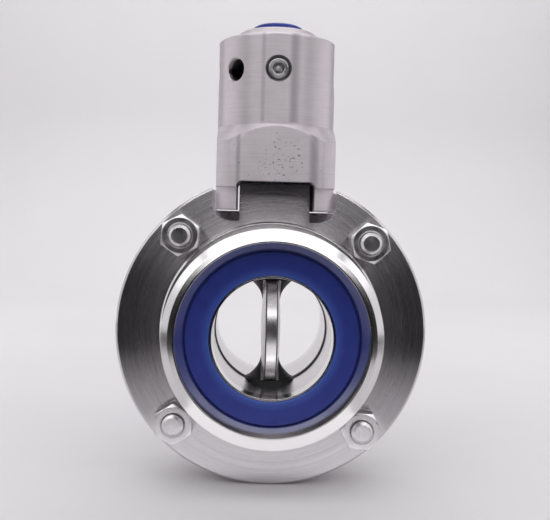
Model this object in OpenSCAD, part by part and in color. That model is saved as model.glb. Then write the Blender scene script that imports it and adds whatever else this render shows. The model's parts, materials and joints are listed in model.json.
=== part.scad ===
// Sanitary butterfly valve, DN 32, with male union ends and a turning lever.
// The pipe runs along Y and the stem stands along Z; they cross at the origin.
// The valve is drawn open: the disc lies along the pipe and the lever points to +Y.

/* [Pipe ends] */
// Radius of the flow bore
bore_r = 16; // [15.8:0.1:16.2]
// Distance from the centre to each end face
end_s = 27; // [27:0.5:29]
// Radius over the union thread's crests
thread_r = 29; // [28.8:0.1:29.2]
// Pitch of the union thread
thread_pitch = 4.233; // [4.1:0.001:4.3]
// Outer radius of the union gasket
gasket_r = 23; // [22.8:0.1:23.2]
// Thickness of the union gasket
gasket_t = 5; // [4.5:0.1:5.2]

/* [Flange halves] */
// Radius of the flange
flange_r = 43; // [43:0.5:44]
// Thickness of one flange half
flange_t = 9.5; // [9:0.1:9.6]
// Radius of the circle through the bolts
bolt_circle_r = 36.5; // [36.5:0.1:36.8]
// Width across the flats of bolts and nuts
hex_af = 10; // [9.6:0.1:10]

/* [Tongue under the handle] */
// Half the width of the tongue
tongue_half = 9.65; // [9.2:0.05:9.65]
// Height of the tongue's flat top
tongue_z = 41; // [40.6:0.1:41.2]
// Radius of the turned pocket round the tongue
pocket_r = 19.4; // [19.3:0.1:20]

/* [Disc and stem] */
// Radius of the disc
disc_r = 15.55; // [15.2:0.05:15.55]
// Width of the disc's rim
rim_w = 3; // [2.6:0.1:3.2]
// Thickness of the disc at its middle
disc_t = 5.5; // [5:0.1:5.8]
// Radius of the upper stem
stem_r = 5; // [4.8:0.1:5]
// Radius of the lower stem
tail_r = 4; // [3.8:0.1:4]

/* [Handle head] */
// Radius of the upper cylinder
head_r = 16.4; // [16.3:0.1:16.6]
// Radius of the block below the shoulder
block_r = 20.9; // [20.5:0.1:21]
// Half the distance across the block's side flats
block_flat = 16; // [15.8:0.1:16.5]
// Half the width of the slot over the tongue
slot_half = 10.4; // [10.3:0.05:10.8]
// Height of the leg ends
leg_z = 33.5; // [33.5:0.1:34]
// Height of the radial holes
hole_z = 71.2; // [71:0.1:72]

/* [Lever] */
// Distance from the stem axis to the end of the grip
lever_len = 120; // [100:1:160]
// Radius of the grip
grip_r = 9; // [8:0.25:10]

/* [Hidden] */
$fn = 96;
eps = 0.01;
slip = 0.05;                    // radial clearance of a turning fit
stack = 0.02;                   // gap between parts that only rest together

// Union end, measured along the pipe from the centre
recess_s = end_s - 8.6;         // floor of the gasket's recess
recess_r = gasket_r + 0.15;
mouth_r = 25.4;
mouth_s = end_s - 1.7 * (mouth_r - recess_r);
lip_r = 27.1;                   // where the rounded lip turns into the lead-in
spigot_r = bore_r + 0.45;       // thin tube that the gasket sits round
spigot_s = recess_s + gasket_t - 0.4;
shoulder_r = 30.6;
shoulder_s = flange_t + 3;
root_r = thread_r - 1.85;
thread_turns = 3;
last_crest_s = end_s - 2.3;
rim_chamfer = 0.6;

// Pocket under the legs: deep in the front half, just clear of the legs in the rear half
front_floor_z = 30.5;
front_floor_corner = 4.5;
rear_floor_corner = 1;

// Seat ring
seat_in_r = disc_r + 0.17;
seat_lip_s = 1.6;
seat_flat_s = 1;                // half the width of the seat's inner land
seat_neck_r = 18.5;
seat_out_r = 22.5;
seat_s = 6;
seat_flat_z = 14.25;            // flat of the boss round the stem
boss_r = 7;

// Stem, bushes and O-rings
hub_z = seat_flat_z - 0.2;
hub_r = 6.4;
flare_z = 8.2;
bush_z = 24;
upper_bush_r = 7;
upper_bush_top = 35.9;
upper_seal_top = 38;
lower_bush_r = 6;
lower_bush_top = 36.2;
lower_seal_z = 26;
tail_z = 35.6;
square_af = 8;
square_z = 60;
ceiling_z = tongue_z + 0.3;

// Fasteners
bolt_r = 3;
bolt_hole_r = 3.3;
nut_h = 5;
bolt_head_h = 4;
bolt_tip_s = flange_t + 6.4;
bolt_angles = [44, 134, 224, 314];   // the pattern is drilled 1 degree off the stem
nut_turns = [42, 26, 31, 57];

// Stop: a pin in the head that runs in a quarter groove in the tongue's top
stop_r = 7.2;
stop_pin_r = 1.25;
stop_depth = 2.4;
stop_start = -135;
stop_travel = 90;

// Head, by height
leg_r = 19.05;                  // swings inside the pocket
leg_top_z = 39.65;              // above here the block clears the flange's rim
shoulder_z = 56.5;
dome_z = 79.9;
crown_z = 82.9;
crown_r = 10.6;
head_top_z = 83.45;
front_face = 16.9;
strip_half = 3.7;
strip_face = sqrt(head_r * head_r - strip_half * strip_half);
arch_r = 11.2;
arch_z = 45.9;
arch_half = 10.5;
arch_rise = 0.35;               // height of the arched panel over its border
arch_border = 2.1;              // width of the panel's sloping border
side_flat = head_r - 0.7;
side_flat_z = 68.5;
lever_flat = 15.5;
well_r = 6.2;
well_z = square_z + 0.3;
under_r = 13.9;

// Screws, cap and lever
tap_r = 3;
tap_mouth_r = 3.45;
screw_r = 3;
set_screw_len = 8;
washer_r = 5.8;
washer_z = well_z;
washer_t = 1.2;
spring_washer_t = 1.4;
cap_r = 6.8;
cap_h = 1.8;
cap_teeth = 48;
rod_thread_r = 4;
rod_r = 5;
rod_in = 7;
rod_neck = 24;
nut13_af = 13;
nut13_h = 6.5;
grip_start = 31;
grip_cap_t = 4;

// ---------- shared shapes ----------

// Turns a shape drawn along +Z to point along the pipe: side -1 is the front, 1 the rear
module along_pipe(side) rotate([-90 * side, 0, 0]) children();

// Ring of revolution between two radii
module ring(r_out, r_in, h) {
    difference() {
        cylinder(r = r_out, h = h);
        translate([0, 0, -1]) cylinder(r = r_in, h = h + 2);
    }
}

// O-ring lying in the XY plane
module o_ring(mid_r, cord_r) rotate_extrude() translate([mid_r, 0]) circle(r = cord_r, $fn = 32);

// Hexagonal prism given by its width across the flats
module hex(af, h) cylinder(r = af / sqrt(3), h = h, $fn = 6);

// Hexagon whose corners are turned off by a cone at the given ends
module chamfered_hex(af, h, low, high) {
    corner = af / sqrt(3);
    cut = corner - af / 2 * 0.96;
    rise = cut * tan(30);
    intersection() {
        hex(af, h);
        rotate_extrude() polygon([
            [0, 0],
            [low ? corner - cut : corner, 0],
            [corner, low ? rise : 0],
            [corner, high ? h - rise : h],
            [high ? corner - cut : corner, h],
            [0, h]
        ]);
    }
}

// Places its child at each bolt
module at_bolts() for (a = bolt_angles) rotate([0, -a, 0]) translate([bolt_circle_r, 0, 0]) children();

// ---------- flange halves ----------

// One rounded crest of the union thread, as points of radius and height
function crest(s) = [
    [root_r, s - 1.75], [root_r + 0.3, s - 1.5], [thread_r - 0.4, s - 1.1], [thread_r - 0.1, s - 0.75],
    [thread_r, s - 0.4], [thread_r, s + 0.4], [thread_r - 0.1, s + 0.75], [thread_r - 0.4, s + 1.1],
    [root_r + 0.3, s + 1.5], [root_r, s + 1.75]
];

// Crests below the last one, which runs into the end chamfer
function thread_points() = [
    for (i = [thread_turns - 1 : -1 : 1]) each crest(last_crest_s - i * thread_pitch)
];

module end_blank() {
    rotate_extrude() polygon(concat(
        [[0, 0], [flange_r, 0], [flange_r, flange_t - rim_chamfer], [flange_r - rim_chamfer, flange_t],
         [shoulder_r, flange_t], [shoulder_r, shoulder_s - 0.5], [shoulder_r - 0.5, shoulder_s],
         [root_r, shoulder_s]],
        thread_points(),
        [[root_r, last_crest_s - 1.75], [root_r + 0.3, last_crest_s - 1.5],
         [thread_r - 0.4, last_crest_s - 1.1], [thread_r, last_crest_s - 0.4],
         [thread_r, last_crest_s + 0.4], [lip_r, end_s - 0.5], [mouth_r + 0.3, end_s], [0, end_s]]
    ));
}

// Bore, gasket recess and mouth of one half
module end_cut() {
    translate([0, 0, -1]) cylinder(r = bore_r, h = end_s);
    rotate_extrude() polygon([
        [spigot_r, recess_s], [recess_r, recess_s], [recess_r, mouth_s], [mouth_r, end_s],
        [mouth_r, end_s + 1], [0, end_s + 1], [0, spigot_s], [spigot_r, spigot_s]
    ]);
    rotate_extrude() polygon([
        [0, -1], [seat_out_r, -1], [seat_out_r, seat_s], [seat_neck_r, seat_s],
        [seat_neck_r, seat_lip_s], [0, seat_lip_s]
    ]);
}

// Space for the stem, its bushes and its seals
module stem_cut() {
    translate([0, 0, seat_flat_z - 1]) cylinder(r = boss_r, h = upper_seal_top - seat_flat_z + 1);
    cylinder(r = stem_r + 0.3, h = flange_r);
    translate([0, 0, -bush_z]) cylinder(r = boss_r, h = bush_z - seat_flat_z + 1);
    translate([0, 0, -lower_bush_top]) cylinder(r = lower_bush_r, h = lower_bush_top);
}

// Turned pocket that lets the handle's legs swing, with the tongue left standing
module swing_cut(floor_z, corner) {
    difference() {
        intersection() {
            union() {
                translate([0, 0, floor_z]) cylinder(r = pocket_r - corner, h = flange_r);
                translate([0, 0, floor_z + corner]) cylinder(r = pocket_r, h = flange_r);
                translate([0, 0, floor_z + corner])
                    rotate_extrude() translate([pocket_r - corner, 0]) circle(r = corner);
            }
            translate([-flange_r, -flange_t, 0]) cube([2 * flange_r, 2 * flange_t, 2 * flange_r]);
        }
        translate([-tongue_half, -flange_t - 1, 0]) cube([2 * tongue_half, 2 * flange_t + 2, tongue_z]);
    }
}

// Quarter groove in the tongue's top for the stop pin, closed at both ends
module stop_groove() {
    half_w = stop_pin_r + 0.15;
    translate([0, 0, tongue_z - stop_depth]) {
        rotate([0, 0, stop_start]) rotate_extrude(angle = stop_travel)
            translate([stop_r - half_w, 0]) square([2 * half_w, stop_depth + 1]);
        for (a = [0, stop_travel]) rotate([0, 0, stop_start + a]) translate([stop_r, 0, 0])
            cylinder(r = half_w, h = stop_depth + 1);
    }
}

module half_body(side) {
    difference() {
        along_pipe(side) end_blank();
        along_pipe(side) end_cut();
        stem_cut();
        if (side < 0) swing_cut(front_floor_z, front_floor_corner);
        if (side > 0) swing_cut(leg_z - 0.3, rear_floor_corner);
        at_bolts() rotate([90, 0, 0]) cylinder(r = bolt_hole_r, h = 2 * flange_r, center = true);
        if (side < 0) stop_groove();
    }
}

module front_body() color("silver") half_body(-1);

module rear_body() color("silver") half_body(1);

// ---------- seals ----------

module seat_ring() {
    color("black") difference() {
        union() {
            along_pipe(1) rotate_extrude() polygon([
                [seat_in_r, -seat_flat_s], [bore_r - 0.05, -seat_lip_s + stack],
                [seat_neck_r - stack, -seat_lip_s + stack], [seat_neck_r + stack, -seat_s + stack],
                [seat_out_r - stack, -seat_s + stack], [seat_out_r - stack, seat_s - stack],
                [seat_neck_r + stack, seat_s - stack], [seat_neck_r + stack, seat_lip_s - stack],
                [bore_r - 0.05, seat_lip_s - stack], [seat_in_r, seat_flat_s]
            ]);
            for (m = [0, 1]) mirror([0, 0, m]) translate([0, 0, seat_flat_z])
                cylinder(r = boss_r - stack, h = bush_z - stack - seat_flat_z);
        }
        cylinder(r = stem_r + slip, h = flange_r);
        translate([0, 0, -flange_r]) cylinder(r = tail_r + slip, h = flange_r);
    }
}

// Union gasket, drawn from the floor of its recess outwards
module gasket() {
    edge = 0.5;
    inner = spigot_r + 0.2;
    translate([0, 0, recess_s + stack]) rotate_extrude() polygon([
        [inner, 0], [gasket_r, 0], [gasket_r, gasket_t - edge], [gasket_r - edge, gasket_t],
        [inner + edge / 2, gasket_t], [inner, gasket_t - edge / 2]
    ]);
}

module front_gasket() color("royalblue") along_pipe(-1) gasket();

module rear_gasket() color("royalblue") along_pipe(1) gasket();

module stem_seals() {
    color("dimgray") {
        translate([0, 0, (upper_bush_top + upper_seal_top) / 2]) o_ring(6.05, 0.9);
        translate([0, 0, -(bush_z + lower_seal_z) / 2]) o_ring(5.05, 0.85);
    }
}

// ---------- bushes ----------

module upper_bush() {
    color("ivory") translate([0, 0, bush_z])
        ring(upper_bush_r - stack, stem_r + slip, upper_bush_top - bush_z);
}

module lower_bush() {
    color("ivory") translate([0, 0, -lower_bush_top + stack])
        ring(lower_bush_r - stack, tail_r + slip, lower_bush_top - lower_seal_z - stack);
}

// ---------- flange fasteners ----------

module flange_bolts() {
    color("gainsboro") at_bolts() {
        rotate([90, 0, 0]) rotate_extrude() polygon([
            [0, -flange_t], [bolt_r - slip, -flange_t], [bolt_r - slip, bolt_tip_s - 0.7],
            [bolt_r - 0.8, bolt_tip_s], [0, bolt_tip_s]
        ]);
        translate([0, flange_t, 0]) rotate([-90, 0, 0])
            chamfered_hex(hex_af, bolt_head_h, false, true);
    }
}

module flange_nuts() {
    color("gainsboro") for (i = [0 : len(bolt_angles) - 1])
        rotate([0, -bolt_angles[i], 0]) translate([bolt_circle_r, -flange_t, 0])
            rotate([90, 0, 0]) rotate([0, 0, nut_turns[i] - bolt_angles[i]]) difference() {
                chamfered_hex(hex_af, nut_h, true, true);
                translate([0, 0, -1]) cylinder(r = bolt_r, h = nut_h + 2);
                translate([0, 0, nut_h - 0.4]) cylinder(r1 = bolt_r, r2 = bolt_r + 0.5, h = 0.4 + eps);
            }
}

// ---------- disc and stem ----------

// Lens-shaped disc, with hubs that flare out to the stem
module disc() {
    face_r = disc_r - 0.35;
    steps = 8;
    function bulge(r) = rim_w / 2 + 0.1 + (disc_t - rim_w - 0.2) / 2 * (1 - pow(r / face_r, 2));
    function flare(t) = disc_t / 2 - 0.15 + (hub_r - disc_t / 2 + 0.15) * t * t;
    upper = [for (i = [steps : -1 : 0]) [face_r * i / steps, bulge(face_r * i / steps)]];
    lower = [for (i = [0 : steps]) [face_r * i / steps, -bulge(face_r * i / steps)]];
    color("lightgray") difference() {
        union() {
            intersection() {
                rotate([0, 90, 0]) rotate_extrude() polygon(concat(
                    lower, [[disc_r, -rim_w / 2 + 0.15], [disc_r, rim_w / 2 - 0.15]], upper
                ));
                cube([2 * disc_r, 3 * disc_r, 2 * hub_z], center = true);
            }
            for (m = [0, 1]) mirror([0, 0, m]) rotate_extrude() polygon(concat(
                [[0, flare_z]],
                [for (i = [0 : steps]) [flare(i / steps), flare_z + (hub_z - flare_z) * i / steps]],
                [[0, hub_z]]
            ));
            translate([0, 0, hub_z - 1]) cylinder(r = stem_r, h = ceiling_z - hub_z + 1);
            intersection() {
                translate([0, 0, ceiling_z - 1]) cylinder(r = stem_r, h = square_z - ceiling_z + 1);
                cube([square_af, square_af, 2 * square_z], center = true);
            }
            translate([0, 0, -tail_z]) cylinder(r = tail_r, h = tail_z - hub_z + 1);
        }
        translate([0, 0, square_z - 14]) cylinder(r = screw_r, h = 15);
    }
}

// ---------- handle head ----------

// Radial hole through the head's wall, at an angle from the front towards the left
module radial_hole(angle, r, mouth_r, face) {
    rotate([0, 0, -angle]) translate([0, 0, hole_z]) rotate([90, 0, 0]) {
        cylinder(r = r, h = block_r);
        translate([0, 0, face - (mouth_r - r)]) cylinder(r1 = r, r2 = mouth_r + 1, h = mouth_r + 1 - r);
    }
}

module head_blank() {
    rotate_extrude() polygon([
        [0, leg_z], [leg_r - 0.3, leg_z], [leg_r, leg_z + 0.3], [leg_r, leg_top_z], [block_r, leg_top_z + 0.1],
        [block_r, shoulder_z - (block_r - head_r)], [head_r, shoulder_z], [head_r, dome_z],
        [head_r - 0.5, dome_z + 0.5], [crown_r + 1.8, crown_z - 1.5], [crown_r + 0.8, crown_z - 0.8],
        [crown_r, crown_z], [crown_r - 1, head_top_z - 0.1], [cap_r + 1, head_top_z], [0, head_top_z]
    ]);
}

// Space that the arched front panel and its sloping border fill
module arch_keep() {
    low = front_face - arch_rise;
    translate([0, 0, arch_z]) rotate([90, 0, 0]) {
        cylinder(r = arch_r + arch_border, h = low);
        translate([0, 0, low]) cylinder(r1 = arch_r + arch_border, r2 = arch_r, h = arch_rise + eps);
    }
    linear_extrude(arch_z) polygon([
        [-arch_half - arch_border, 0], [-arch_half - arch_border, -low],
        [-arch_half, -front_face - eps], [arch_half, -front_face - eps],
        [arch_half + arch_border, -low], [arch_half + arch_border, 0]
    ]);
}

// Everything in front of the block's front face, less the arched panel
module front_cut() {
    low = front_face - arch_rise;
    translate([-block_r, -2 * block_r, 0]) cube([2 * block_r, 2 * block_r - front_face, shoulder_z]);
    difference() {
        translate([-block_r, -2 * block_r, 0]) cube([2 * block_r, 2 * block_r - low, shoulder_z]);
        arch_keep();
    }
    translate([-strip_half - 1, -2 * block_r, shoulder_z - eps])
        cube([2 * strip_half + 2, 2 * block_r - strip_face, head_top_z]);
}

// Slot over the tongue, with rounded upper corners, and the turned relief inside it
module slot_cut() {
    fillet = 1.3;
    rotate([90, 0, 0]) linear_extrude(4 * block_r, center = true) {
        translate([-slot_half, 0]) square([2 * slot_half, ceiling_z - fillet]);
        translate([-slot_half + fillet, 0]) square([2 * (slot_half - fillet), ceiling_z]);
        for (x = [-1, 1]) translate([x * (slot_half - fillet), ceiling_z - fillet]) circle(r = fillet);
    }
    cylinder(r = under_r, h = ceiling_z);
}

// Flat on the right of the upper cylinder, running out in a ramp
module side_cut() {
    ramp = 4.2;
    depth = head_r - side_flat;
    rotate([90, 0, 0]) linear_extrude(4 * block_r, center = true) polygon([
        [side_flat, side_flat_z], [side_flat + depth + 0.1, side_flat_z - ramp],
        [block_r, side_flat_z - ramp], [block_r, head_top_z + 1], [side_flat, head_top_z + 1]
    ]);
}

module handle_head() {
    square_gap = 0.04;
    color("silver") difference() {
        intersection() {
            head_blank();
            union() {
                translate([-block_flat, -2 * block_r, 0]) cube([2 * block_flat, 4 * block_r, shoulder_z]);
                translate([0, 0, shoulder_z - eps]) cylinder(r = block_r, h = head_top_z);
            }
        }
        front_cut();
        mirror([0, 1, 0]) translate([-block_r, -2 * block_r, 0])
            cube([2 * block_r, 2 * block_r - front_face, shoulder_z]);
        slot_cut();
        side_cut();
        translate([-nut13_af, lever_flat, hole_z - 9.5]) cube([2 * nut13_af, block_r, 2 * block_r]);
        translate([-square_af / 2 - square_gap, -square_af / 2 - square_gap, 0])
            cube([square_af + 2 * square_gap, square_af + 2 * square_gap, well_z + 1]);
        translate([0, 0, well_z]) cylinder(r = well_r, h = head_top_z);
        radial_hole(0, screw_r, tap_mouth_r, strip_face);
        radial_hole(45, tap_r, tap_mouth_r, head_r);
        radial_hole(90, tap_r, tap_mouth_r, head_r);
        radial_hole(180, rod_thread_r, rod_thread_r + 0.4, lever_flat);
        rotate([0, 0, stop_start]) translate([stop_r, 0, 0]) cylinder(r = stop_pin_r, h = ceiling_z + 8);
    }
}

module stop_pin() {
    color("gainsboro") rotate([0, 0, stop_start]) translate([stop_r, 0, ceiling_z - 2.2])
        cylinder(r = stop_pin_r, h = 10);
}

// ---------- screw that holds the head on the stem ----------

module stem_washer() {
    color("gainsboro") translate([0, 0, washer_z]) ring(washer_r, screw_r + 0.2, washer_t - stack);
}

// Split washer, drawn flat with its gap
module stem_spring_washer() {
    color("gray") translate([0, 0, washer_z + washer_t]) difference() {
        ring(washer_r - 0.6, screw_r + 0.1, spring_washer_t - stack);
        translate([0, -0.5, -1]) cube([washer_r, 1, 4]);
    }
}

module stem_screw() {
    head_z = washer_z + washer_t + spring_washer_t;
    color("gainsboro") difference() {
        union() {
            translate([0, 0, square_z - 12]) cylinder(r = screw_r - slip, h = head_z - square_z + 12);
            translate([0, 0, head_z]) cylinder(r = 5, h = 5.6);
            translate([0, 0, head_z + 5.6]) cylinder(r1 = 5, r2 = 4.6, h = 0.4);
        }
        translate([0, 0, head_z + 3]) hex(5, 4);
    }
}

// ---------- small parts on the head ----------

// Socket set screw that closes the front hole
module set_screw() {
    depth = 3;
    r = screw_r - slip;
    start = strip_face - set_screw_len - 0.15;
    color("gainsboro") rotate([90, 0, 0]) translate([0, hole_z, start]) difference() {
        union() {
            cylinder(r = r, h = set_screw_len - 0.5);
            translate([0, 0, set_screw_len - 0.5]) cylinder(r1 = r, r2 = r - 0.4, h = 0.5);
        }
        translate([0, 0, set_screw_len - depth]) hex(3, depth + 1);
        translate([0, 0, set_screw_len - depth - 0.8]) cylinder(r1 = 0, r2 = 1.2, h = 0.8 + eps);
    }
}

// Plug cap with a serrated edge
module head_cap() {
    tooth = 0.25;
    color("royalblue") difference() {
        union() {
            translate([0, 0, head_top_z - 6]) cylinder(r = well_r - 0.1, h = 6.5);
            translate([0, 0, head_top_z + stack]) linear_extrude(cap_h - 0.5) polygon([
                for (i = [0 : 2 * cap_teeth - 1])
                    let (r = cap_r - tooth * (i % 2), a = 180 * i / cap_teeth) [r * cos(a), r * sin(a)]
            ]);
            translate([0, 0, head_top_z + cap_h - 0.5])
                cylinder(r1 = cap_r - tooth, r2 = cap_r - 1, h = 0.5);
        }
        translate([0, 0, head_top_z - 7]) cylinder(r = well_r - 1.6, h = 6);
    }
}

// ---------- lever ----------

// Places a shape drawn along +Z on the lever's axis, from the stem axis outwards
module on_lever() translate([0, 0, hole_z]) rotate([-90, 0, 0]) children();

module lever_rod() {
    rod_end = lever_len - grip_cap_t - 4;
    color("lightgray") on_lever() rotate_extrude() polygon([
        [0, rod_in], [rod_thread_r - 0.8, rod_in], [rod_thread_r - stack, rod_in + 0.8],
        [rod_thread_r - stack, rod_neck], [rod_r - 0.4, rod_neck], [rod_r, rod_neck + 0.4],
        [rod_r, rod_end - 0.6], [rod_r - 0.6, rod_end], [0, rod_end]
    ]);
}

module lever_nut() {
    color("gainsboro") on_lever() translate([0, 0, lever_flat + stack]) difference() {
        chamfered_hex(nut13_af, nut13_h, true, true);
        translate([0, 0, -1]) cylinder(r = rod_thread_r, h = nut13_h + 2);
        translate([0, 0, nut13_h - 0.5])
            cylinder(r1 = rod_thread_r, r2 = rod_thread_r + 0.6, h = 0.5 + eps);
    }
}

// Sleeve grip with a shallow waist
module lever_grip() {
    grip_end = lever_len - grip_cap_t;
    steps = 16;
    len = grip_end - grip_start - 4;
    function waist(t) = grip_r - 0.8 * sin(180 * t);
    color("royalblue") on_lever() rotate_extrude() polygon(concat(
        [[rod_r + stack, grip_start], [grip_r - 1.5, grip_start], [grip_r - 0.4, grip_start + 0.7]],
        [for (i = [0 : steps]) [waist(i / steps), grip_start + 2 + len * i / steps]],
        [[grip_r, grip_end], [rod_r + stack, grip_end]]
    ));
}

module grip_cap() {
    color("royalblue") on_lever() rotate_extrude() polygon(concat(
        [[0, lever_len - grip_cap_t - 3], [rod_r - 0.2, lever_len - grip_cap_t - 3],
         [rod_r - 0.2, lever_len - grip_cap_t + stack], [grip_r, lever_len - grip_cap_t + stack],
         [grip_r, lever_len - 3]],
        [for (a = [15 : 15 : 90]) [grip_r - 3 + 3 * cos(a), lever_len - 3 + 3 * sin(a)]],
        [[0, lever_len]]
    ));
}

front_body();
rear_body();
seat_ring();
front_gasket();
rear_gasket();
upper_bush();
lower_bush();
stem_seals();
flange_bolts();
flange_nuts();
disc();
handle_head();
stop_pin();
stem_washer();
stem_spring_washer();
stem_screw();
set_screw();
head_cap();
lever_rod();
lever_nut();
lever_grip();
grip_cap();
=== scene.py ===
"""Looks of the butterfly valve: steel, rubber and plastic, on a white sweep under soft studio lights."""
import json
import math

import bpy
from mathutils import Matrix, Vector

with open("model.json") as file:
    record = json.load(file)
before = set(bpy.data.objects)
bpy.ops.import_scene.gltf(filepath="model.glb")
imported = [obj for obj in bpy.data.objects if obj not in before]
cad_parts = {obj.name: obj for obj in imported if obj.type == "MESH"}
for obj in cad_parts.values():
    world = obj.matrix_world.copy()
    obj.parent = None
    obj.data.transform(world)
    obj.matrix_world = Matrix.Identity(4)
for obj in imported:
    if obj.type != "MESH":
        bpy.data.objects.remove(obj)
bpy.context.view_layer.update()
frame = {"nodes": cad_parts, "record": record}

MM = 0.001

# ---------- shader helpers ----------


class Shader:
    """A Principled material built node by node, with coordinates in millimetres of the row frame."""

    def __init__(self, name):
        self.mat = bpy.data.materials.new(name)
        self.mat.use_nodes = True
        self.nodes = self.mat.node_tree.nodes
        self.links = self.mat.node_tree.links
        self.bsdf = self.nodes["Principled BSDF"]
        coords = self.nodes.new("ShaderNodeTexCoord")
        self.point = self.vector("MULTIPLY", coords.outputs["Object"], (1000, 1000, 1000))
        split = self.nodes.new("ShaderNodeSeparateXYZ")
        self.links.new(self.point, split.inputs[0])
        self.x, self.y, self.z = split.outputs

    def put(self, socket, value):
        if isinstance(value, bpy.types.NodeSocket):
            self.links.new(value, socket)
        elif value is not None:
            socket.default_value = value

    def vector(self, operation, a, b):
        node = self.nodes.new("ShaderNodeVectorMath")
        node.operation = operation
        self.put(node.inputs[0], a)
        self.put(node.inputs[1], b)
        return node.outputs["Vector"]

    def math(self, operation, a, b=None, clamp=False):
        node = self.nodes.new("ShaderNodeMath")
        node.operation = operation
        node.use_clamp = clamp
        self.put(node.inputs[0], a)
        if b is not None:
            self.put(node.inputs[1], b)
        return node.outputs[0]

    def combine(self, x, y, z):
        node = self.nodes.new("ShaderNodeCombineXYZ")
        for socket, value in zip(node.inputs, (x, y, z)):
            self.put(socket, value)
        return node.outputs[0]

    def ramp(self, value, lo, hi, out_lo=0.0, out_hi=1.0, smooth=True):
        """Maps lo..hi to out_lo..out_hi, clamped."""
        node = self.nodes.new("ShaderNodeMapRange")
        node.interpolation_type = "SMOOTHSTEP" if smooth else "LINEAR"
        for socket, v in zip(node.inputs, (value, lo, hi, out_lo, out_hi)):
            self.put(socket, v)
        return node.outputs[0]

    def product(self, first, *others):
        for other in others:
            first = self.math("MULTIPLY", first, other)
        return first

    def length(self, a, b):
        """Length of a vector with the two components."""
        return self.math("SQRT", self.math("ADD", self.product(a, a), self.product(b, b)))

    def band(self, value, rise, fall):
        """1 between the pairs of limits rise and fall, 0 outside them."""
        return self.product(self.ramp(value, *rise), self.ramp(value, fall[1], fall[0]))

    def noise(self, vector, scale, detail=2.0, rough=0.5):
        node = self.nodes.new("ShaderNodeTexNoise")
        self.put(node.inputs["Vector"], vector)
        self.put(node.inputs["Scale"], scale)
        self.put(node.inputs["Detail"], detail)
        self.put(node.inputs["Roughness"], rough)
        return node.outputs["Fac"]

    def mix(self, factor, a, b):
        """Mix of two colours, of which at least one varies or the factor does."""
        node = self.nodes.new("ShaderNodeMix")
        node.data_type = "RGBA"
        self.put(node.inputs["Factor"], factor)
        self.put(node.inputs["A"], a)
        self.put(node.inputs["B"], b)
        return node.outputs["Result"]

    def bump(self, height, distance, strength=1.0, normal=None):
        node = self.nodes.new("ShaderNodeBump")
        self.put(node.inputs["Height"], height)
        self.put(node.inputs["Distance"], distance * MM)
        self.put(node.inputs["Strength"], strength)
        self.put(node.inputs["Normal"], normal)
        return node.outputs["Normal"]

    def edge(self, radius):
        """Normal that rounds sharp edges."""
        node = self.nodes.new("ShaderNodeBevel")
        node.samples = 6
        self.put(node.inputs["Radius"], radius * MM)
        return node.outputs["Normal"]

    def tangent(self, axis):
        node = self.nodes.new("ShaderNodeTangent")
        node.direction_type = "RADIAL"
        node.axis = axis
        return node.outputs["Tangent"]

    def set(self, **values):
        """Sets Principled sockets; underscores in the names stand for spaces."""
        for key, value in values.items():
            self.put(self.bsdf.inputs[key.replace("_", " ")], value)
        return self.mat


def colour(r, g, b):
    return (r, g, b, 1.0)


# ---------- materials ----------


def turned_steel():
    """Faced and turned on a lathe round the pipe axis: brushed flange, brighter collar and bore, and
    painted shade on the top of the tongue under the head.
    """
    s = Shader("turned_steel")
    radius = s.length(s.x, s.z)
    depth = s.math("ABSOLUTE", s.y)
    angle = s.math("ARCTAN2", s.z, s.x)
    polar = s.combine(s.math("COSINE", angle), s.math("SINE", angle), s.product(radius, 6.0))
    ring = s.combine(0.0, 0.0, s.math("ADD", s.product(radius, 2.4), s.product(depth, 1.7)))
    grooves = s.noise(ring, 6.0, 3.0, 0.7)
    bands = s.noise(ring, 0.35, 2.0, 0.6)
    worn = s.noise(polar, 0.8, 3.0, 0.6)

    collar = s.product(s.ramp(depth, 9.6, 9.9), s.ramp(radius, 30.9, 30.4))
    bore = s.ramp(radius, 17.2, 16.6)
    mouth = s.product(s.ramp(radius, 25.9, 25.6), s.ramp(depth, 18.0, 18.2))
    polish = s.math("MAXIMUM", collar, bore)
    # Painted shade: the top of the tongue gets darker towards the head's slot, where the head shades it
    shade_under_head = s.product(s.ramp(s.math("ABSOLUTE", s.x), 9.9, 9.7), s.ramp(s.z, 36.5, 41.2))

    tone = s.math("ADD", s.product(grooves, 0.5), s.product(worn, 0.5))
    base = s.mix(s.ramp(tone, 0.32, 0.68, smooth=False),
                 colour(0.60, 0.575, 0.60), colour(0.80, 0.77, 0.795))
    base = s.mix(polish, base, colour(0.74, 0.72, 0.735))
    # Painted shade under the head, mixed into the tongue's top
    base = s.mix(s.product(shade_under_head, 0.75), base, colour(0.10, 0.095, 0.10))

    wear = s.math("ADD", s.product(bands, 0.6), s.product(grooves, 0.4))
    rough = s.ramp(wear, 0.3, 0.7, 0.22, 0.30, smooth=False)
    rough = s.math("SUBTRACT", rough, s.product(polish, 0.05))
    rough = s.math("SUBTRACT", rough, s.product(mouth, 0.16), clamp=True)
    aniso = s.ramp(s.math("MAXIMUM", polish, mouth), 0.0, 1.0, 1.0, 0.5)
    return s.set(Base_Color=base, Metallic=1.0, Roughness=rough, Anisotropic=aniso,
                 Anisotropic_Rotation=0.25, Tangent=s.tangent("Y"),
                 Normal=s.bump(grooves, 0.012, 0.5, s.edge(0.22)))


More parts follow.
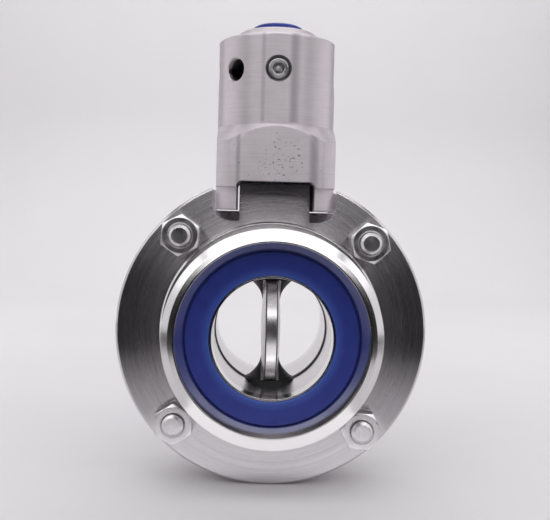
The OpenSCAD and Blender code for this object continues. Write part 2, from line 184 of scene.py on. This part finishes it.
def head_steel():
    """Cast head, satin finished with a belt that ran round it, so the fine lines lie level."""
    s = Shader("head_steel")
    lines = s.noise(s.vector("MULTIPLY", s.point, (0.10, 0.10, 5.0)), 1.0, 3.0, 0.65)
    fine = s.noise(s.vector("MULTIPLY", s.point, (0.5, 0.5, 14.0)), 1.0, 2.0, 0.6)
    cloud = s.noise(s.point, 0.11, 3.0, 0.55)
    tone = s.math("ADD", s.product(lines, 0.45), s.product(cloud, 0.55))
    base = s.mix(s.ramp(tone, 0.35, 0.65, smooth=False),
                 colour(0.64, 0.588, 0.625), colour(0.78, 0.72, 0.76))

    # Casting pits on the front panel, thickest a little below its middle
    panel = s.product(s.ramp(s.y, -16.3, -16.7), s.ramp(s.z, 57.0, 56.0))
    away = s.length(s.math("SUBTRACT", s.x, 1.5), s.math("SUBTRACT", s.z, 46.5))
    speck = s.noise(s.vector("MULTIPLY", s.point, (1.0, 0.2, 1.0)), 1.25, 3.0, 0.55)
    speck = s.math("ADD", speck, s.ramp(away, 10.0, 1.0, 0.0, 0.09))
    pits = s.product(s.ramp(speck, 0.69, 0.73), panel, 0.8)
    base = s.mix(pits, base, colour(0.16, 0.14, 0.15))

    # Painted shade and painted dark reflection: darker bands beside the panel and beside the strip, where
    # their rounded edges turn away from the light
    front = s.ramp(s.y, -12.0, -13.0)
    right = s.band(s.x, (8.2, 9.7), (10.2, 11.8))
    left = s.band(s.x, (-11.0, -10.3), (-10.0, -9.3))
    beside_panel = s.product(s.math("ADD", right, s.product(left, 0.8)), panel)
    right = s.band(s.x, (2.6, 4.1), (4.3, 6.4))
    left = s.band(s.x, (-4.8, -4.2), (-3.8, -3.3))
    beside_strip = s.product(s.math("ADD", right, s.product(left, 0.6)), s.ramp(s.z, 56.6, 57.4), front)
    shade = s.product(s.math("MAXIMUM", beside_panel, beside_strip), 0.55)
    base = s.mix(shade, base, colour(0.27, 0.25, 0.28))

    # Painted shade inside the holes and in the gap round the set screw in the front hole's mouth
    inside = s.product(s.ramp(s.length(s.x, s.y), 15.4, 14.8), s.ramp(s.z, 79.4, 79.0))
    off_axis = s.length(s.x, s.math("SUBTRACT", s.z, 71.2))
    mouth = s.product(s.band(off_axis, (2.9, 3.0), (3.4, 3.6)), front)
    base = s.mix(s.product(s.math("MAXIMUM", inside, mouth), 0.85), base, colour(0.03, 0.03, 0.032))

    rough = s.ramp(cloud, 0.3, 0.7, 0.46, 0.54, smooth=False)
    height = s.math("ADD", s.product(lines, 0.5), s.product(fine, 0.3))
    height = s.math("SUBTRACT", height, s.product(pits, 1.5))
    return s.set(Base_Color=base, Metallic=1.0, Roughness=rough, Anisotropic=0.9,
                 Anisotropic_Rotation=0.25, Tangent=s.tangent("Z"),
                 Normal=s.bump(height, 0.02, 0.5, s.edge(0.4)))


def bright_steel(name, tone, rough, grain, edge):
    """Machined and polished steel with faint marks."""
    s = Shader(name)
    marks = s.noise(s.vector("MULTIPLY", s.point, grain), 1.0, 3.0, 0.65)
    cloud = s.noise(s.point, 0.35, 2.0, 0.5)
    worn_tone = [v * 0.86 for v in tone]
    base = s.mix(s.ramp(marks, 0.3, 0.7, smooth=False), colour(*worn_tone), colour(*tone))
    return s.set(Base_Color=base, Metallic=1.0,
                 Roughness=s.ramp(cloud, 0.3, 0.7, rough * 0.8, rough * 1.25, smooth=False),
                 Normal=s.bump(marks, 0.008, 0.5, s.edge(edge)))


def disc_steel():
    """Polished disc; its hub flares carry a painted reflection of the black seat and dark lines run along
    the edges of its rim, both black, dull and not metallic.
    """
    s = Shader("disc_steel")
    marks = s.noise(s.vector("MULTIPLY", s.point, (0.4, 6.0, 0.4)), 1.0, 3.0, 0.65)
    cloud = s.noise(s.point, 0.35, 2.0, 0.5)
    across = s.math("ABSOLUTE", s.x)
    # Painted reflection of the black seat on the hub flares, and black lines along the edges of the rim
    flare = s.product(s.ramp(s.math("ABSOLUTE", s.z), 8.3, 8.7), s.ramp(across, 2.4, 2.6))
    rim = s.ramp(s.length(s.y, s.z), 14.4, 14.8)
    rim_edge_lines = s.product(s.band(across, (1.30, 1.42), (1.75, 1.95)), rim, 0.9)
    painted_black = s.math("MAXIMUM", flare, rim_edge_lines)
    base = s.mix(s.ramp(marks, 0.3, 0.7, smooth=False), colour(0.68, 0.66, 0.67), colour(0.78, 0.76, 0.77))
    # The painted black is mixed in, and made dull and not metallic below
    base = s.mix(painted_black, base, colour(0.014, 0.014, 0.015))
    rough = s.math("ADD", s.ramp(cloud, 0.3, 0.7, 0.26, 0.34, smooth=False), s.product(painted_black, 0.22))
    return s.set(Base_Color=base, Metallic=s.math("SUBTRACT", 1.0, painted_black), Roughness=rough,
                 Normal=s.bump(marks, 0.008, 0.5, s.edge(0.2)))


def elastomer(name, dark, light, rough):
    """Smooth rubber with a fine grain; gives the shader and its base colour too."""
    s = Shader(name)
    cloud = s.noise(s.point, 0.25, 3.0, 0.6)
    grain = s.noise(s.point, 9.0, 2.0, 0.6)
    base = s.mix(s.ramp(cloud, 0.3, 0.7, smooth=False), colour(*dark), colour(*light))
    s.set(Base_Color=base, Roughness=s.ramp(grain, 0.3, 0.7, rough - 0.06, rough + 0.06, smooth=False),
          Normal=s.bump(grain, 0.012, 0.4), Specular_IOR_Level=0.4)
    return s, base


def black_rubber():
    return elastomer("black_rubber", (0.010, 0.010, 0.011), (0.022, 0.021, 0.022), 0.55)[0].mat


def gasket_blue():
    """Blue elastomer that is paler towards the bore, where it is worn by the pipe."""
    s, base = elastomer("blue_seal", (0.026, 0.040, 0.27), (0.032, 0.052, 0.32), 0.40)
    return s.set(Base_Color=s.mix(s.ramp(s.length(s.x, s.z), 19.5, 16.6), base, colour(0.050, 0.098, 0.44)))


def moulded(name, dark, light, rough):
    """Moulded plastic with a faint orange peel."""
    s = Shader(name)
    cloud = s.noise(s.point, 0.15, 2.0, 0.5)
    grain = s.noise(s.point, 5.0, 3.0, 0.6)
    base = s.mix(s.ramp(cloud, 0.3, 0.7, smooth=False), colour(*dark), colour(*light))
    return s.set(Base_Color=base,
                 Roughness=s.ramp(grain, 0.3, 0.7, rough - 0.04, rough + 0.05, smooth=False),
                 Normal=s.bump(grain, 0.02, 0.3, s.edge(0.25)), Specular_IOR_Level=0.28)


MATERIALS = {
    "body_steel": turned_steel(),
    "head_steel": head_steel(),
    "disc_steel": disc_steel(),
    "rod_steel": bright_steel("rod_steel", (0.70, 0.68, 0.70), 0.28, (0.15, 0.6, 7.0), 0.2),
    "fastener_steel": bright_steel("fastener_steel", (0.74, 0.72, 0.74), 0.32, (2.0, 5.0, 2.0), 0.3),
    "black_rubber": black_rubber(),
    "blue_seal": gasket_blue(),
    "blue_plastic": moulded("blue_plastic", (0.035, 0.055, 0.36), (0.05, 0.075, 0.43), 0.46),
    "bush_plastic": moulded("bush_plastic", (0.74, 0.73, 0.69), (0.82, 0.81, 0.77), 0.45),
}
for part in frame["record"]["subparts"]:
    obj = frame["nodes"][part["node"]]
    obj.data.materials.clear()
    obj.data.materials.append(MATERIALS[part["material_slot"]])

# ---------- stage ----------

FLOOR_Z = -43 * MM
FRONT_Y = -124 * MM
NARROW_Y = -60 * MM             # up to here the sheet is narrow
WIDE_Y = 0.0                    # from here on it is wide
NARROW_HALF = 150 * MM
WIDE_HALF = 900 * MM
BEND_Y = 470 * MM
BEND_R = 180 * MM
BEND_STEPS = 32
WALL_TOP = 700 * MM
TABLE_HALF = 2000 * MM
PAPER_T = 0.4 * MM


def stage_mesh(name, verts, faces):
    mesh = bpy.data.meshes.new(name)
    mesh.from_pydata(verts, [], faces)
    mesh.shade_smooth()
    obj = bpy.data.objects.new(name, mesh)
    bpy.context.scene.collection.objects.link(obj)
    return mesh


def half_width(y):
    """The sheet is narrow in front of the valve and wide beside and behind it."""
    share = min(1.0, max(0.0, (y - NARROW_Y) / (WIDE_Y - NARROW_Y)))
    return NARROW_HALF + share * (WIDE_HALF - NARROW_HALF)


def sweep():
    """Paper that runs along the floor, bends and stands up behind."""
    profile = [(FRONT_Y, FLOOR_Z), (NARROW_Y, FLOOR_Z), (WIDE_Y, FLOOR_Z)]
    for i in range(BEND_STEPS + 1):
        a = math.pi / 2 * i / BEND_STEPS
        profile.append((BEND_Y + BEND_R * math.sin(a), FLOOR_Z + BEND_R * (1 - math.cos(a))))
    profile.append((BEND_Y + BEND_R, WALL_TOP))
    verts = [(side * half_width(y), y, z) for y, z in profile for side in (-1, 1)]
    faces = [(2 * i, 2 * i + 1, 2 * i + 3, 2 * i + 2) for i in range(len(profile) - 1)]
    s = Shader("paper")
    cloud = s.noise(s.point, 0.01, 3.0, 0.5)
    fibre = s.noise(s.point, 2.5, 3.0, 0.6)
    base = s.mix(s.ramp(cloud, 0.3, 0.7, smooth=False),
                 colour(0.80, 0.785, 0.80), colour(0.82, 0.805, 0.82))
    s.set(Base_Color=base, Roughness=0.7, Specular_IOR_Level=0.2, Normal=s.bump(fibre, 0.02, 0.2))
    stage_mesh("sweep", verts, faces).materials.append(s.mat)


def table():
    """Dark table under the paper; it shows in front of the narrow sheet, where the flange mirrors it."""
    top = FLOOR_Z - PAPER_T
    corners = [(-1, -1), (1, -1), (1, 1), (-1, 1)]
    s = Shader("table_top")
    cloud = s.noise(s.point, 0.02, 4.0, 0.6)
    base = s.mix(cloud, colour(0.004, 0.004, 0.0045), colour(0.008, 0.0078, 0.0085))
    s.set(Base_Color=base, Roughness=s.ramp(cloud, 0.3, 0.7, 0.6, 0.75), Specular_IOR_Level=0.1)
    verts = [(x * TABLE_HALF, y * TABLE_HALF, top) for x, y in corners]
    stage_mesh("table", verts, [(0, 1, 2, 3)]).materials.append(s.mat)


sweep()
table()

# ---------- lights ----------


def area(name, place, target, width, depth, power, diffuse=True):
    """Rectangular light; diffuse=False leaves it in reflections only."""
    light = bpy.data.lights.new(name, "AREA")
    light.shape = "RECTANGLE"
    light.size, light.size_y = width, depth
    light.energy = power
    obj = bpy.data.objects.new(name, light)
    obj.location = place
    obj.rotation_mode = "QUATERNION"
    obj.rotation_quaternion = (Vector(target) - Vector(place)).to_track_quat("-Z", "Y")
    obj.visible_diffuse = diffuse
    bpy.context.scene.collection.objects.link(obj)


area("ceiling", (0.0, -0.22, 0.62), (0.0, -0.10, 0.0), 1.10, 0.30, 1.5)
area("left_card", (-0.445, 0.085, 0.16), (-0.05, 0.085, 0.04), 0.56, 0.42, 0.66)
area("right_card", (0.445, 0.075, 0.16), (0.05, 0.075, 0.04), 0.56, 0.42, 0.66)
area("front_top", (0.0, -0.46, 0.46), (0.0, 0.0, 0.05), 1.70, 0.42, 2.4)
area("front_sheen", (0.0, -0.45, 0.47), (0.0, 0.0, 0.05), 2.60, 0.42, 2.9, diffuse=False)
area("floor_glow", (0.0, -0.0475, -0.0425), (0.0, -0.0475, 0.1), 0.09, 0.065, 0.009, diffuse=False)
area("wall_wash", (0.0, 0.34, 0.72), (0.0, 0.66, 0.22), 1.1, 0.25, 3.8)

world = bpy.data.worlds.new("room")
bpy.context.scene.world = world
world.use_nodes = True
world.node_tree.nodes["Background"].inputs["Color"].default_value = colour(0.009, 0.0086, 0.0096)

# ---------- camera ----------

CAM_PLACE = (-6.09 * MM, -242 * MM, 33.0 * MM)
CAM_YAW, CAM_PITCH, CAM_ROLL = 0.0285, 0.0559, 0.0263
LENS, SENSOR = 55.33, 36
camera = bpy.data.cameras.new("camera")
camera.sensor_width = SENSOR
camera.lens = LENS
camera.clip_start, camera.clip_end = 0.01, 10
cam = bpy.data.objects.new("camera", camera)
turn = Matrix.Rotation(-CAM_YAW, 4, "Z") @ Matrix.Rotation(math.pi / 2 - CAM_PITCH, 4, "X")
cam.matrix_world = Matrix.Translation(CAM_PLACE) @ turn @ Matrix.Rotation(CAM_ROLL, 4, "Z")
bpy.context.scene.collection.objects.link(cam)
bpy.context.scene.camera = cam
bpy.context.scene.view_settings.view_transform = "Standard"
